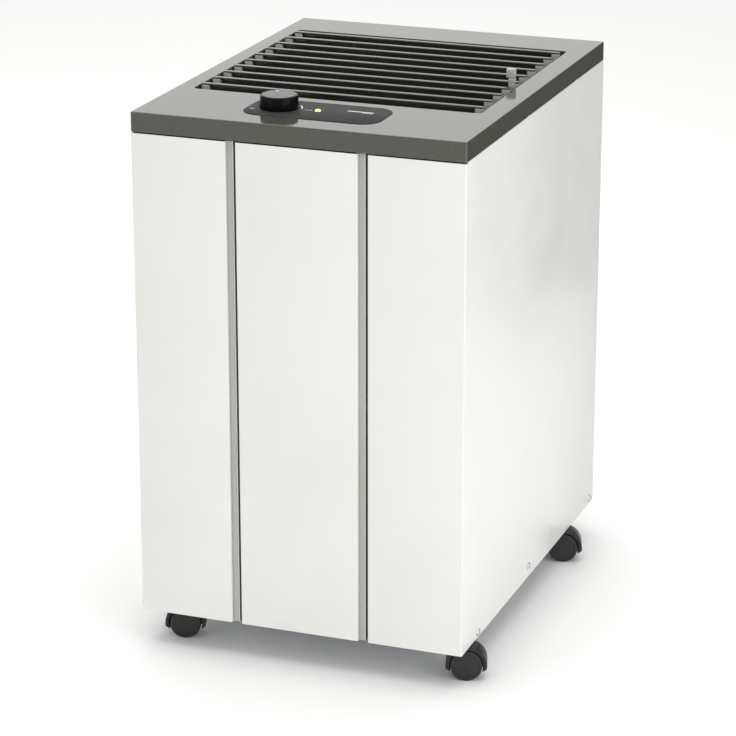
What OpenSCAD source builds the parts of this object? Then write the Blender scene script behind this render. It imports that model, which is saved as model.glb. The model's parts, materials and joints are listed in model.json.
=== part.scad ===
// Portable dehumidifier on castors: steel cabinet, plastic top cover with
// ten linked louvre blades, lift-off front panel with the water tank behind
// it, and the refrigeration unit in the rear bay.
// Origin: on the floor under the middle of the cabinet. +X is to the right
// of someone facing the front, +Y is to the back, +Z is up.

/* [Cabinet] */
// Width of the cabinet
body_w = 355; // [290:1:430]
// Depth of the cabinet, front face to back edge
body_d = 472; // [430:1:570]
// Height of the cabinet, bottom edge to top of the cover
body_h = 538.5; // [520:0.5:650]
// Thickness of the steel sheet
sheet_t = 1.2; // [0.8:0.1:1.6]
// Radius of the cabinet's upright edges
edge_r = 2; // [1.2:0.1:4]
// Width and height of the tabs that locate the cover
tab_w = 5; // [3:0.5:10]
tab_h = 1.8; // [1:0.1:3]

/* [Front panel] */
// Distance from the middle of the panel to the middle of a groove
groove_x = 70; // [50:1:85]
// Width of a groove
groove_w = 11; // [6:0.5:14]
// Depth of a groove
groove_d = 5; // [3:0.5:7]
// Width and extra depth of the open slot at the right side of a groove
slot_w = 4; // [1.2:0.1:5]
slot_d = 4; // [2:0.5:5]
// Depth of the folded returns that push into the cabinet
panel_return = 14; // [10:1:16]
// Gap between the panel's wrapped edge and the cabinet side
panel_seam = 0.3; // [0.3:0.1:1]
// Shadow gap between the panel and the cover
panel_gap = 1.3; // [0.8:0.1:3]

/* [Top cover] */
// Height of the cover's skirt
skirt_h = 20.5; // [16:0.5:28]
// Wall of the cover
cover_t = 2.5; // [2:0.1:3.5]
// Depth of the locating lip inside the cabinet
lip_h = 7; // [4:0.5:10]
// Width of the louvre opening, and how far it stands to the left of the middle
opening_w = 311.5; // [240:0.5:314]
louvre_x = 2.5; // [0:0.5:4]
// Distance from the front of the cabinet to the louvre opening
opening_front = 114; // [104:1:140]
// Distance from the back of the cabinet to the louvre opening
opening_back = 61; // [50:1:75]
// Corner radius of the louvre opening
opening_r = 5; // [3:0.5:8]

/* [Louvre] */
// Number of louvre blades
blade_n = 10; // [8:1:11]
// Distance from the end of the opening to the first and last blade
blade_edge = 18.2; // [16:0.1:24]
// Depth of a blade's top flange and its end blocks
flange_d = 6; // [5:0.1:7.5]
// Thickness of the flange
flange_t = 1.6; // [1.2:0.1:2.5]
// Thickness of a blade's web
web_t = 2; // [1.6:0.1:2.6]
// Height of a blade
blade_h = 27.5; // [25:0.5:30]
// How far the blades stand above the cover
blade_proud = 2.2; // [0:0.1:4]
// Width and height of a blade's end block
block_w = 8.5; // [7:0.1:10]
block_h = 15.2; // [14:0.1:16]
// Gap between a blade's end and the side of the opening
blade_gap = 2.75; // [2:0.05:5]
// Distance from a blade's top to its pivot
pivot_drop = 11.2; // [9:0.1:12]
// Diameter of the pivot pins
pivot_d = 4; // [3:0.1:5]
// Diameter of the link pins
link_pin_d = 3; // [2.4:0.1:3.4]
// Width and height of the link bar
link_w = 4; // [3:0.1:4.5]
link_h = 6; // [5:0.1:6.5]
// Width, thickness and height of the lever above the blade
lever_w = 9.6; // [8:0.1:12]
lever_t = 5; // [4:0.1:6]
lever_h = 13.8; // [10:0.1:18]

/* [Controls] */
// Width and depth of the control overlay
overlay_w = 146; // [120:1:170]
overlay_d = 68; // [56:1:76]
// Corner radius of the overlay
overlay_r = 20; // [8:1:26]
// Thickness of the overlay
overlay_t = 0.6; // [0.3:0.1:1]
// Distance from the front of the cabinet to the middle of the controls
control_y = 65; // [50:1:72]
// Distance of the knob to the left of the middle
knob_x = 43; // [34:1:48]
// Distance of the label and the lamp to the left of the middle
label_x = 1.5; // [0:0.5:5]
// Diameter of the knob at its top and at its base
knob_d = 38; // [28:0.5:46]
knob_base_d = 40; // [30:0.5:48]
// Height of the knob
knob_h = 13; // [11:0.5:18]
// Diameter of the humidistat's spindle
spindle_d = 6; // [5:0.5:7]
// Diameter of the lamp's lens
lamp_d = 6; // [4:0.5:8]

/* [Castors] */
// Diameter of a castor wheel
wheel_d = 33; // [27:0.5:40]
// Width of a castor wheel
wheel_w = 8.5; // [7:0.1:10]
// Wall of the castor hood over the top of the wheels
hood_t = 1.8; // [1.4:0.1:2.5]
// Wall of the castor hood at its two ends, and how far they hang below the axle
hood_end = 3.8; // [2.5:0.1:5]
tip_drop = 6.5; // [3:0.5:8]
// Thickness of the web between the wheels
castor_web = 4.6; // [3.6:0.1:6]
// Trail of a castor: stem to axle
trail = 15; // [10:0.5:20]
// Diameter of a castor's stem and of its axle
stem_d = 8; // [6:0.5:9]
axle_d = 4; // [3:0.5:5]
// Distance from the side of the cabinet to a stem
castor_side = 20.5; // [18:0.5:24]
// Distance from the front, and from the back, to a stem
castor_front = 30; // [28:1:40]
castor_back = 101; // [80:1:120]
// Direction in which the castors trail at rest
castor_turn = 17.5; // [0:0.5:90]

/* [Water tank] */
// Gap under the tank, between the tray floor and the tank
tank_lift = 12; // [11:0.5:16]
// Height of the tank
tank_h = 239; // [200:1:245]
// Wall of the tank
tank_t = 2.5; // [2:0.1:4]
// Gap at each side of the tank
tank_side = 11; // [10:0.5:16]
// Length of the handle's arms
handle_l = 70; // [50:1:76]
// Diameter of the handle's grip
grip_d = 10; // [8:0.5:12]
// Diameter and height of the float
float_d = 36; // [28:1:40]
float_h = 24; // [16:1:28]

/* [Cooling unit] */
// Depth of the rear bay, back edge of the cabinet to the partition
rear_bay = 266; // [258:1:300]
// Width and height of the coils' finned blocks
coil_w = 300; // [240:1:306]
coil_h = 208; // [180:1:210]
// Depth of the evaporator and of the condenser
coil_d = 34; // [26:1:36]
// Number of fin packs shown on a coil
fin_n = 30; // [20:1:40]
// Diameter of the fan
fan_d = 190; // [150:1:200]
// Number of fan blades
fan_n = 5; // [3:1:7]
// Diameter and length of the fan motor
motor_d = 80; // [60:1:90]
motor_l = 56; // [40:1:60]
// Diameter and height of the compressor shell
comp_d = 150; // [120:1:160]
comp_h = 185; // [150:1:195]
// Diameter of the copper pipes
pipe_d = 8; // [6:0.5:10]

/* [Back] */
// Depth of the filter frame
filter_d = 9; // [6:0.5:10]
// Width of the filter frame's border
filter_border = 12; // [9:0.5:18]
// Diameter and length of the drain spigot
spigot_d = 16; // [12:0.5:18]
spigot_l = 18; // [14:0.5:20]
// Bore of the cord inlet
inlet_d = 9; // [7:0.5:11]

/* [Clearances] */
// Running clearance on the radius of pins, shafts and stems
run_fit = 0.05; // [0.03:0.01:0.08]
// Gap between pieces that slide or hang side by side
slide_gap = 0.5; // [0.4:0.1:1]
// Gap over and beside a wheel in its hood
wheel_gap = 1.2; // [0.8:0.1:2]
// Gap between a castor hood and the cabinet
swivel_gap = 1.5; // [1.2:0.1:3]
// Clearance on the radius of screws in their holes
screw_fit = 0.2; // [0.1:0.05:0.4]

/* [Hidden] */
$fn = 64;

corners = ["front_left", "front_right", "rear_left", "rear_right"];
wheel_sides = ["a", "b"];

// Colours
white = [0.90, 0.90, 0.88];
cover_grey = [0.42, 0.42, 0.39];
label_grey = [0.36, 0.36, 0.36];
black = [0.12, 0.12, 0.12];
silver = [0.62, 0.62, 0.62];
copper = [0.72, 0.42, 0.26];
zinc = [0.66, 0.68, 0.70];
clear_plastic = [0.80, 0.86, 0.90];

// Heights
wheel_r = wheel_d / 2;
hood_reach = wheel_r + wheel_gap + hood_end;
base_z = 2 * wheel_r + wheel_gap + hood_t + swivel_gap;      // bottom edge of the cabinet
cover_top = base_z + body_h;
skirt_z = cover_top - skirt_h;               // bottom edge of the cover
cover_under = cover_top - cover_t;
tray_t = 1.5;
tray_z = base_z + 1;                         // underside of the tray
tray_floor = tray_z + tray_t;
tray_side = 20;
socket_h = 10;

// Cabinet
half_w = body_w / 2;
half_d = body_d / 2;
inner_x = half_w - sheet_t;
front_flange = 8;
rear_flange = 14;
flange_y = -half_d + sheet_t + panel_return + 2;
back_y = half_d - 2 * sheet_t;               // inner face of the back panel
tab_y = [-half_d + 197, half_d - 106];
rail_h = 18;
rail_z = skirt_z - lip_h - rail_h - 1;
tray_y0 = flange_y + sheet_t + slide_gap;
tray_y1 = back_y - sheet_t - slide_gap;
tray_x = inner_x - slide_gap;

// Louvre
opening_y0 = -half_d + opening_front;
opening_y1 = half_d - opening_back;
opening_l = opening_y1 - opening_y0;
blade_pitch = (opening_l - 2 * blade_edge) / (blade_n - 1);
blade_x = opening_w / 2 - blade_gap;         // end of a blade
blade_top = cover_top + blade_proud;
pivot_z = blade_top - pivot_drop;
rail_wall = 3;
rail_reach = 0.4;                            // rail set back from the opening
link_z = pivot_z - 13;
link_x = blade_x - block_w - 1.8;            // inner face of the link bar
link_y = flange_d / 2 - web_t / 2;           // link pins, behind the pivots
lead_blade = 5;
function blade_y(k) = opening_y0 + blade_edge + (k - 1) * blade_pitch;

// Rear bay
partition_y = half_d - rear_bay;             // back face of the lower partition
filter_y = back_y - filter_d + sheet_t;
coil_top = rail_z - 4;
coil_z = coil_top - coil_h;
evap_y = filter_y - 10 - coil_d;
cond_y = evap_y - 5 - coil_d;
shroud_t = 2;
shroud_y = cond_y - 3 - shroud_t;
rotor_l = 24;
rotor_gap = 3;
rotor_y = shroud_y - rotor_gap - rotor_l;
motor_y = rotor_y - 5 - motor_l;
fan_z = coil_z + coil_h / 2;
shaft_d = 6;
drip_h = 20;
drip_z = coil_z - drip_h;
drip_t = 2;
trough_w = 28;
trough_h = 14;
comp_x = -55;
comp_y = partition_y + 4 + comp_d / 2 + 20;
mount_h = 12;
mount_r = comp_d / 2 + 5;
foot_angles = [-90, 30, 150];

// Front bay
tank_x = inner_x - tank_side;
tank_y0 = flange_y - 4;
tank_y1 = partition_y - sheet_t - 8;
tank_z = tray_floor + tank_lift;
tank_top = tank_z + tank_h;
handle_y = tank_y0 + 17;
handle_z = tank_top - 13;
handle_pin_d = 6;
float_x = 60;
float_y = tank_y1 - tank_t - 12;
float_z = tank_top - 24;
float_pin_d = 4;
float_arm = 42;
shelf_z = tank_top + 109;                    // underside of the upper bay

// Controls
dial_y = -half_d + control_y;
overlay_top = cover_top + overlay_t;

// A box between two corners
module block(lo, hi) {
    translate(lo) cube([for (i = [0:2]) hi[i] - lo[i]]);
}

// A flat shape with round corners
module round_rect(x0, y0, x1, y1, r) {
    translate([x0 + r, y0]) square([x1 - x0 - 2 * r, y1 - y0]);
    translate([x0, y0 + r]) square([x1 - x0, y1 - y0 - 2 * r]);
    for (x = [x0 + r, x1 - r]) {
        for (y = [y0 + r, y1 - r]) translate([x, y]) circle(r);
    }
}

// Round bars along X, Y and Z
module bar_x(x0, x1, y, z, d) {
    translate([x0, y, z]) rotate([0, 90, 0]) cylinder(h = x1 - x0, d = d);
}

module bar_y(y0, y1, x, z, d) {
    translate([x, y0, z]) rotate([-90, 0, 0]) cylinder(h = y1 - y0, d = d);
}

module bar_z(z0, z1, x, y, d) {
    translate([x, y, z0]) cylinder(h = z1 - z0, d = d);
}

// A bent pipe through a list of corners, brazed at each corner
module pipe(points, d) {
    for (i = [0:len(points) - 2]) {
        a = points[i];
        b = points[i + 1];
        step = b - a;
        if (step[0] != 0) {
            bar_x(min(a[0], b[0]), max(a[0], b[0]), a[1], a[2], d);
        } else if (step[1] != 0) {
            bar_y(min(a[1], b[1]), max(a[1], b[1]), a[0], a[2], d);
        } else {
            bar_z(min(a[2], b[2]), max(a[2], b[2]), a[0], a[1], d);
        }
        if (i > 0) translate(a) sphere(d = d);
    }
}

// Places of the screws: [y, height over the cabinet's bottom edge]
screw_d = 4;
head_d = 8;
head_h = 2;
side_screws = [[-half_d + 52, 6], [-half_d + 223, 13.4], [half_d - 15, 6]];
back_screw_x = inner_x - rear_flange / 2;
back_screw_z = [base_z + 60, (base_z + skirt_z) / 2, skirt_z - lip_h - 12];

// Folded steel wrap: both sides, flanges front and back, and the top rails
module casing() color(white) {
    side_y0 = -half_d + wrap_d + panel_seam;
    rail_top = rail_z + rail_h;
    flange_z = base_z + tray_side + 4;
    difference() {
        union() {
            for (s = [0, 1]) mirror([s, 0, 0]) {
                block([inner_x, side_y0, base_z], [half_w, half_d, skirt_z]);
                for (y = tab_y) {
                    block([inner_x, y - tab_w / 2, skirt_z - 1], [half_w, y + tab_w / 2, skirt_z + tab_h]);
                }
                block([inner_x - front_flange, flange_y, flange_z],
                      [inner_x, flange_y + sheet_t, rail_top]);
                block([inner_x - rear_flange, back_y - sheet_t, base_z],
                      [inner_x, back_y, rail_top]);
            }
            for (y = [flange_y, back_y - sheet_t]) {
                block([-inner_x, y, rail_z], [inner_x, y + sheet_t, rail_top]);
            }
        }
        for (p = side_screws) {
            bar_x(-half_w - 1, half_w + 1, p[0], base_z + p[1], screw_d + 2 * screw_fit);
        }
        for (x = [-back_screw_x, back_screw_x]) {
            for (z = back_screw_z) {
                bar_y(back_y - 2 * sheet_t, back_y + 1, x, z, screw_d + 2 * screw_fit);
            }
        }
    }
}

// Sheet steel back with the filter opening, cooling slots and outlets
spigot_cup_d = spigot_d + 28;
spigot_x = -100;
spigot_z = base_z + 60;
inlet_x = 110;
inlet_z = base_z + 50;
inlet_body_d = inlet_d + 9;
module back_panel() color(white) {
    difference() {
        block([-inner_x + slide_gap, back_y, base_z + 1],
              [inner_x - slide_gap, back_y + sheet_t, skirt_z - lip_h - 1]);
        block([-coil_w / 2, back_y - 1, coil_z], [coil_w / 2, back_y + 3, coil_top]);
        for (x = [-back_screw_x, back_screw_x]) {
            for (z = back_screw_z) bar_y(back_y - 1, back_y + 3, x, z, screw_d + 2 * screw_fit);
        }
        for (i = [0:7]) {
            block([-40, back_y - 1, base_z + 90 + i * 14], [40, back_y + 3, base_z + 95 + i * 14]);
        }
        bar_y(back_y - 1, back_y + 3, spigot_x, spigot_z, spigot_cup_d);
        bar_y(back_y - 1, back_y + 3, inlet_x, inlet_z, inlet_body_d);
    }
}

// Pressed steel tray: floor, upstands and the castor sockets
stem_places = [
    [-half_w + castor_side, -half_d + castor_front],
    [half_w - castor_side, -half_d + castor_front],
    [-half_w + castor_side, half_d - castor_back],
    [half_w - castor_side, half_d - castor_back]
];
module base_tray() color(zinc) {
    lip = 9;
    difference() {
        union() {
            block([-tray_x, tray_y0, tray_z], [tray_x, tray_y1, tray_floor]);
            for (s = [0, 1]) mirror([s, 0, 0]) {
                block([tray_x - tray_t, tray_y0, tray_z], [tray_x, tray_y1, tray_z + tray_side]);
                block([tray_x - 60, tray_y0 + 4, tray_floor],
                      [tray_x - 52, partition_y - sheet_t - 6, tank_z]);
            }
            block([-tray_x, tray_y0, tray_z], [tray_x, tray_y0 + tray_t, tray_floor + lip]);
            block([-tray_x, tray_y1 - tray_t, tray_z], [tray_x, tray_y1, tray_z + tray_side]);
            for (p = stem_places) bar_z(tray_floor, tray_floor + socket_h, p[0], p[1], stem_d + 7);
        }
        for (p = stem_places) {
            bar_z(tray_z - 1, tray_floor + socket_h - 1.5, p[0], p[1], stem_d + 2 * run_fit);
        }
        for (p = side_screws) {
            bar_x(-half_w, half_w, p[0], base_z + p[1], screw_d + 2 * screw_fit);
        }
    }
}

// Hollow of one groove, looking down on it, grown by a wall
module groove_plan(wall) {
    left = -groove_w / 2 - wall;
    right = groove_w / 2 + wall;
    translate([left, -half_d]) square([right - left, groove_d + wall]);
    translate([right - slot_w - 2 * wall, -half_d])
        square([slot_w + 2 * wall, groove_d + slot_d + wall]);
}

// Outline of the front panel, looking down on it: the face wraps round the
// cabinet's corners, and folded returns push in behind them
wrap_d = 2 * edge_r;
module panel_plan() {
    y0 = -half_d;
    difference() {
        union() {
            difference() {
                round_rect(-half_w, y0, half_w, y0 + wrap_d + edge_r, edge_r);
                translate([-half_w + sheet_t, y0 + sheet_t])
                    square([body_w - 2 * sheet_t, wrap_d * 2]);
                translate([-half_w - 1, y0 + wrap_d]) square([body_w + 2, wrap_d]);
            }
            for (x = [-groove_x, groove_x]) translate([x, 0]) groove_plan(sheet_t);
        }
        for (x = [-groove_x, groove_x]) translate([x, 0]) {
            groove_plan(0);
            translate([-groove_w / 2, y0 - 1]) square([groove_w, 2]);
        }
    }
    for (s = [0, 1]) mirror([s, 0, 0]) {
        translate([inner_x - slide_gap - sheet_t, y0 + sheet_t / 2]) square([sheet_t, panel_return]);
    }
}

// Lift-off front panel with its two grooves
panel_z = base_z;
panel_top = skirt_z - panel_gap;
module front_panel() color(white) {
    translate([0, 0, panel_z]) linear_extrude(height = panel_top - panel_z) panel_plan();
}

// Grey strips that line the floors of the grooves, beside the open slots
strip_t = 0.8;
module groove_strips() color([0.70, 0.69, 0.65]) {
    for (x = [-groove_x, groove_x]) {
        block([x - groove_w / 2 + 0.2, -half_d + groove_d - strip_t, panel_z],
              [x + groove_w / 2 - slot_w - sheet_t, -half_d + groove_d, panel_top]);
    }
}

// Moulded top cover with its skirt, locating lip and louvre opening
module top_cover() color(cover_grey) {
    lip_x = inner_x - slide_gap;
    lip_y0 = flange_y + sheet_t + 1;
    lip_y1 = back_y - sheet_t - 1;
    difference() {
        translate([0, 0, skirt_z]) linear_extrude(height = skirt_h)
            round_rect(-half_w, -half_d, half_w, half_d, edge_r);
        block([-half_w + cover_t, -half_d + cover_t, skirt_z - 1],
              [half_w - cover_t, half_d - cover_t, cover_under]);
        translate([0, 0, cover_under - 1]) linear_extrude(height = cover_t + 2)
            translate([-louvre_x, 0])
                round_rect(-opening_w / 2, opening_y0, opening_w / 2, opening_y1, opening_r);
        bar_z(cover_under - 1, cover_top + 1, -knob_x, dial_y, spindle_d + 1);
        bar_z(cover_under - 1, cover_top + 1, -label_x, dial_y, lamp_d + 0.6);
        for (s = [0, 1]) mirror([s, 0, 0]) {
            for (y = tab_y) {
                block([lip_x, y - tab_w / 2 - slide_gap, skirt_z - 1],
                      [half_w + 1, y + tab_w / 2 + slide_gap, skirt_z + tab_h + slide_gap]);
            }
        }
    }
    difference() {
        block([-lip_x, lip_y0, skirt_z - lip_h], [lip_x, lip_y1, skirt_z + 2]);
        block([-lip_x + cover_t, lip_y0 + cover_t, skirt_z - lip_h - 1],
              [lip_x - cover_t, lip_y1 - cover_t, skirt_z + 3]);
    }
}

// Printed label under the knob and round the lamp
module control_overlay() color(label_grey) {
    translate([-label_x, dial_y, cover_top]) difference() {
        linear_extrude(height = overlay_t)
            round_rect(-overlay_w / 2, -overlay_d / 2, overlay_w / 2, overlay_d / 2, overlay_r);
        bar_z(-1, 1 + overlay_t, label_x - knob_x, 0, spindle_d + 1);
        bar_z(-1, 1 + overlay_t, 0, 0, lamp_d + 0.6);
    }
}

// Green lamp: domed lens and its holder under the cover
module power_lamp() color([0.62, 0.90, 0.20]) {
    lens_h = 1.2;
    bar_z(cover_under, overlay_top + lens_h, -label_x, dial_y, lamp_d);
    bar_z(cover_under - 8, cover_under, -label_x, dial_y, lamp_d + 4);
    bar_z(overlay_top + lens_h, overlay_top + lens_h + 0.6, -label_x, dial_y, lamp_d - 1.2);
}

// Humidistat: switch body under the cover and the post that the knob turns on
module humidistat() color(black) {
    block([-knob_x - 20, dial_y - 18, cover_under - 32], [-knob_x + 20, dial_y + 18, cover_under]);
    bar_z(cover_under, overlay_top + 9, -knob_x, dial_y, spindle_d);
}

// Knob, with a blind bore on the humidistat's post and a seat for its cap
cap_t = 1.2;
cap_rim = 1.5;
cap_d = knob_d - 2 * cap_rim;
module knob() color(black) {
    lift = 0.6;
    z = overlay_top + lift;
    difference() {
        translate([-knob_x, dial_y, z]) cylinder(h = knob_h, d1 = knob_base_d, d2 = knob_d);
        bar_z(z - 1, overlay_top + 9.4, -knob_x, dial_y, spindle_d + 2 * run_fit);
        bar_z(z + knob_h - cap_t + 0.4, z + knob_h + 1, -knob_x, dial_y, cap_d + 0.2);
    }
}

// Bright disc pressed into the top of the knob
module knob_cap() color(silver) {
    z = overlay_top + 0.6 + knob_h - cap_t + 0.4;
    bar_z(z, z + cap_t, -knob_x, dial_y, cap_d);
}

// Frame under the cover that carries the blades' pivots
frame_h = 22;
frame_x = opening_w / 2 + rail_reach;
module louvre_frame() color(black) {
    translate([-louvre_x, 0, 0]) difference() {
        block([-frame_x - rail_wall, opening_y0 - rail_wall - rail_reach, cover_under - frame_h],
              [frame_x + rail_wall, opening_y1 + rail_wall + rail_reach, cover_under]);
        block([-frame_x, opening_y0 - rail_reach, cover_under - frame_h - 1],
              [frame_x, opening_y1 + rail_reach, cover_under + 1]);
        for (k = [1:blade_n]) {
            bar_x(-half_w, half_w, blade_y(k), pivot_z, pivot_d + 2 * run_fit);
        }
    }
}

// One louvre blade: flange, hanging web, end blocks, pivots and link pin
module louvre_blade(k) color([0.38, 0.38, 0.36]) {
    z0 = blade_top - blade_h;
    y = blade_y(k);
    pin_end = frame_x + rail_wall - 0.5;
    translate([-louvre_x, 0, 0]) {
        block([-blade_x, y - flange_d / 2, blade_top - flange_t],
              [blade_x, y + flange_d / 2, blade_top]);
        block([-blade_x, y + flange_d / 2 - web_t, blade_top - block_h],
              [blade_x, y + flange_d / 2, blade_top]);
        block([-blade_x, y + flange_d / 2 - web_t, z0],
              [link_x - 1, y + flange_d / 2, blade_top - block_h + 1]);
        for (s = [0, 1]) mirror([s, 0, 0]) {
            block([blade_x - block_w, y - flange_d / 2, blade_top - block_h],
                  [blade_x, y + flange_d / 2, blade_top]);
            bar_x(blade_x - 1, pin_end, y, pivot_z, pivot_d);
        }
        bar_x(link_x - 5, link_x + link_w + 1.2, y + link_y, link_z, link_pin_d);
    }
}

// Finger lever clipped on the leading blade
lever_x = blade_x - block_w - 4;
module louvre_lever() color([0.30, 0.30, 0.29]) {
    y = blade_y(lead_blade);
    clip_t = 1.4;
    clip_h = 9;
    y0 = y - flange_d / 2 - clip_t;
    translate([lever_x - louvre_x, 0, 0]) {
        block([0, y0, blade_top], [lever_w, y0 + lever_t, blade_top + lever_h]);
        block([0, y0, blade_top - clip_h], [lever_w, y0 + clip_t, blade_top]);
    }
}

// Bar that links all the blades
module louvre_link_bar() color(black) {
    y0 = blade_y(1) + link_y - 5;
    y1 = blade_y(blade_n) + link_y + 5;
    translate([-louvre_x, 0, 0]) difference() {
        block([link_x, y0, link_z - link_h / 2], [link_x + link_w, y1, link_z + link_h / 2]);
        for (k = [1:blade_n]) {
            bar_x(link_x - 1, link_x + link_w + 1, blade_y(k) + link_y, link_z,
                  link_pin_d + 2 * run_fit);
        }
    }
}

// Bulkhead between the water bay and the cooling unit, stepped forward at the top
module partition() color(zinc) {
    x = inner_x - slide_gap;
    upper_y = opening_y0 - rail_reach;
    lower_y = partition_y - sheet_t;
    top = min(skirt_z - lip_h, cover_under - frame_h) - 1;
    difference() {
        union() {
            block([-x, lower_y, tray_floor], [x, partition_y, shelf_z]);
            block([-x, upper_y, shelf_z - sheet_t], [x, partition_y, shelf_z]);
            block([-x, upper_y, shelf_z - sheet_t], [x, upper_y + sheet_t, top]);
        }
        block([-trough_w / 2 - slide_gap, lower_y - 1, drip_z - slide_gap],
              [trough_w / 2 + slide_gap, partition_y + 1, drip_z + trough_h + slide_gap]);
        for (s = [0, 1]) mirror([s, 0, 0]) {
            block([tray_x - tray_t - 1, lower_y - 1, tray_floor - 1],
                  [half_w, partition_y + 1, tray_z + tray_side + 1]);
        }
    }
}

// A finned coil: aluminium fin packs between two tube plates, with return bends
module coil(y0) {
    x = coil_w / 2;
    pitch = (coil_w - 8) / fin_n;
    bend_n = 5;
    bend_pitch = coil_h / (bend_n + 1);
    color([0.72, 0.74, 0.76]) {
        block([-x + 2, y0 + 2, coil_z], [x - 2, y0 + coil_d - 2, coil_top]);
        for (i = [0:fin_n - 1]) {
            block([-x + 4 + i * pitch, y0, coil_z], [-x + 4 + (i + 0.5) * pitch, y0 + coil_d, coil_top]);
        }
        for (s = [0, 1]) mirror([s, 0, 0]) block([x - 2, y0, coil_z], [x, y0 + coil_d, coil_top]);
    }
    bend_x = -x - pipe_d / 2 - 2;
    near_y = y0 + 6 + pipe_d / 2;
    far_y = y0 + coil_d - 6 - pipe_d / 2;
    color(copper) for (i = [1:bend_n]) {
        z = coil_z + i * bend_pitch;
        pipe([[-x + 1, near_y, z], [bend_x, near_y, z], [bend_x, far_y, z], [-x + 1, far_y, z]], pipe_d);
    }
}

// Cold coil, nearest the filter
module evaporator() coil(evap_y);

// Warm coil, between the cold coil and the fan
module condenser() coil(cond_y);

// Pipes from the compressor up to the coils
module refrigerant_pipes() color(copper) {
    riser_x = coil_w / 2 + 14;
    comp_top = tray_floor + mount_h + 2 + comp_h;
    mid_e = evap_y + coil_d / 2;
    mid_c = cond_y + coil_d / 2;
    low_z = coil_z + 40;
    high_z = coil_top - 30;
    pipe([[comp_x + 30, comp_y, comp_top], [comp_x + 30, comp_y, comp_top + 14],
          [riser_x, comp_y, comp_top + 14], [riser_x, comp_y, low_z],
          [riser_x, mid_c, low_z], [coil_w / 2, mid_c, low_z]], pipe_d);
    pipe([[comp_x - 10, comp_y - 30, comp_top], [comp_x - 10, comp_y - 30, comp_top + 28],
          [riser_x, comp_y - 30, comp_top + 28], [riser_x, comp_y - 30, high_z],
          [riser_x, mid_e, high_z], [coil_w / 2, mid_e, high_z]], pipe_d);
}

// Sealed compressor shell on a three-footed plate
module compressor() color(black) {
    z0 = tray_floor + mount_h;
    r = comp_d / 2;
    round = 28;
    translate([comp_x, comp_y, 0]) {
        difference() {
            union() {
                bar_z(z0, z0 + 2, 0, 0, comp_d - 20);
                for (a = foot_angles) rotate([0, 0, a]) {
                    translate([0, -11, z0]) cube([mount_r + 11, 22, 2]);
                }
            }
            for (a = foot_angles) rotate([0, 0, a]) bar_z(z0 - 1, z0 + 3, mount_r, 0, 8.4);
        }
        translate([0, 0, z0 + 2]) rotate_extrude() {
            difference() {
                union() {
                    square([r - round, comp_h]);
                    translate([0, round]) square([r, comp_h - 2 * round]);
                    for (z = [round, comp_h - round]) translate([r - round, z]) circle(round);
                }
                translate([-comp_d, -1]) square([comp_d, comp_h + 2]);
            }
        }
    }
}

// Three rubber bushes under the compressor, each with a necked top
module compressor_mounts() color(black) {
    for (a = foot_angles) translate([comp_x, comp_y, 0]) rotate([0, 0, a]) {
        bar_z(tray_floor, tray_floor + mount_h, mount_r, 0, 20);
        bar_z(tray_floor + mount_h, tray_floor + mount_h + 4, mount_r, 0, 8);
    }
}

// Fan motor with its flange and shaft
module fan_motor() color([0.30, 0.31, 0.33]) {
    flange_t2 = 2;
    bar_y(motor_y, motor_y + motor_l, 0, fan_z, motor_d);
    bar_y(motor_y + motor_l - flange_t2, motor_y + motor_l, 0, fan_z, motor_d + 20);
    bar_y(motor_y + motor_l - 1, rotor_y + rotor_l + 1, 0, fan_z, shaft_d);
}

// Fan shroud: plate, ring, and the three legs that hold the motor
module fan_shroud() color(black) {
    tip_gap = 4;
    ring_t = 2.5;
    ring_r = fan_d / 2 + tip_gap;
    leg_y = motor_y + motor_l - 2 - 5;
    difference() {
        union() {
            block([-coil_w / 2, shroud_y, coil_z], [coil_w / 2, shroud_y + shroud_t, coil_top]);
            bar_y(rotor_y - 2, shroud_y + shroud_t, 0, fan_z, 2 * (ring_r + ring_t));
        }
        bar_y(leg_y - 1, shroud_y + shroud_t + 1, 0, fan_z, 2 * ring_r);
    }
    difference() {
        bar_y(leg_y, leg_y + 5, 0, fan_z, motor_d + 20);
        bar_y(leg_y - 1, leg_y + 6, 0, fan_z, motor_d + 1);
    }
    for (a = [30, 150, 270]) translate([0, 0, fan_z]) rotate([0, -a, 0]) {
        block([motor_d / 2 + 4, leg_y, -4], [ring_r + 1, leg_y + 5, 4]);
        block([ring_r, leg_y, -4], [ring_r + ring_t, rotor_y, 4]);
    }
}

// Fan wheel: hub and pitched blades
module fan_rotor() color([0.20, 0.21, 0.22]) {
    hub_d = 50;
    pitch_angle = 32;
    translate([0, rotor_y, fan_z]) rotate([-90, 0, 0]) difference() {
        union() {
            cylinder(h = rotor_l, d = hub_d);
            intersection() {
                cylinder(h = rotor_l, d = fan_d);
                for (i = [0:fan_n - 1]) rotate([0, 0, i * 360 / fan_n]) {
                    translate([fan_d / 4, 0, rotor_l / 2]) rotate([pitch_angle, 0, 0])
                        cube([fan_d / 2 + 10, 60, 2.2], center = true);
                }
            }
        }
        translate([0, 0, -1]) cylinder(h = rotor_l + 2, d = shaft_d + 2 * run_fit);
    }
}

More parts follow.
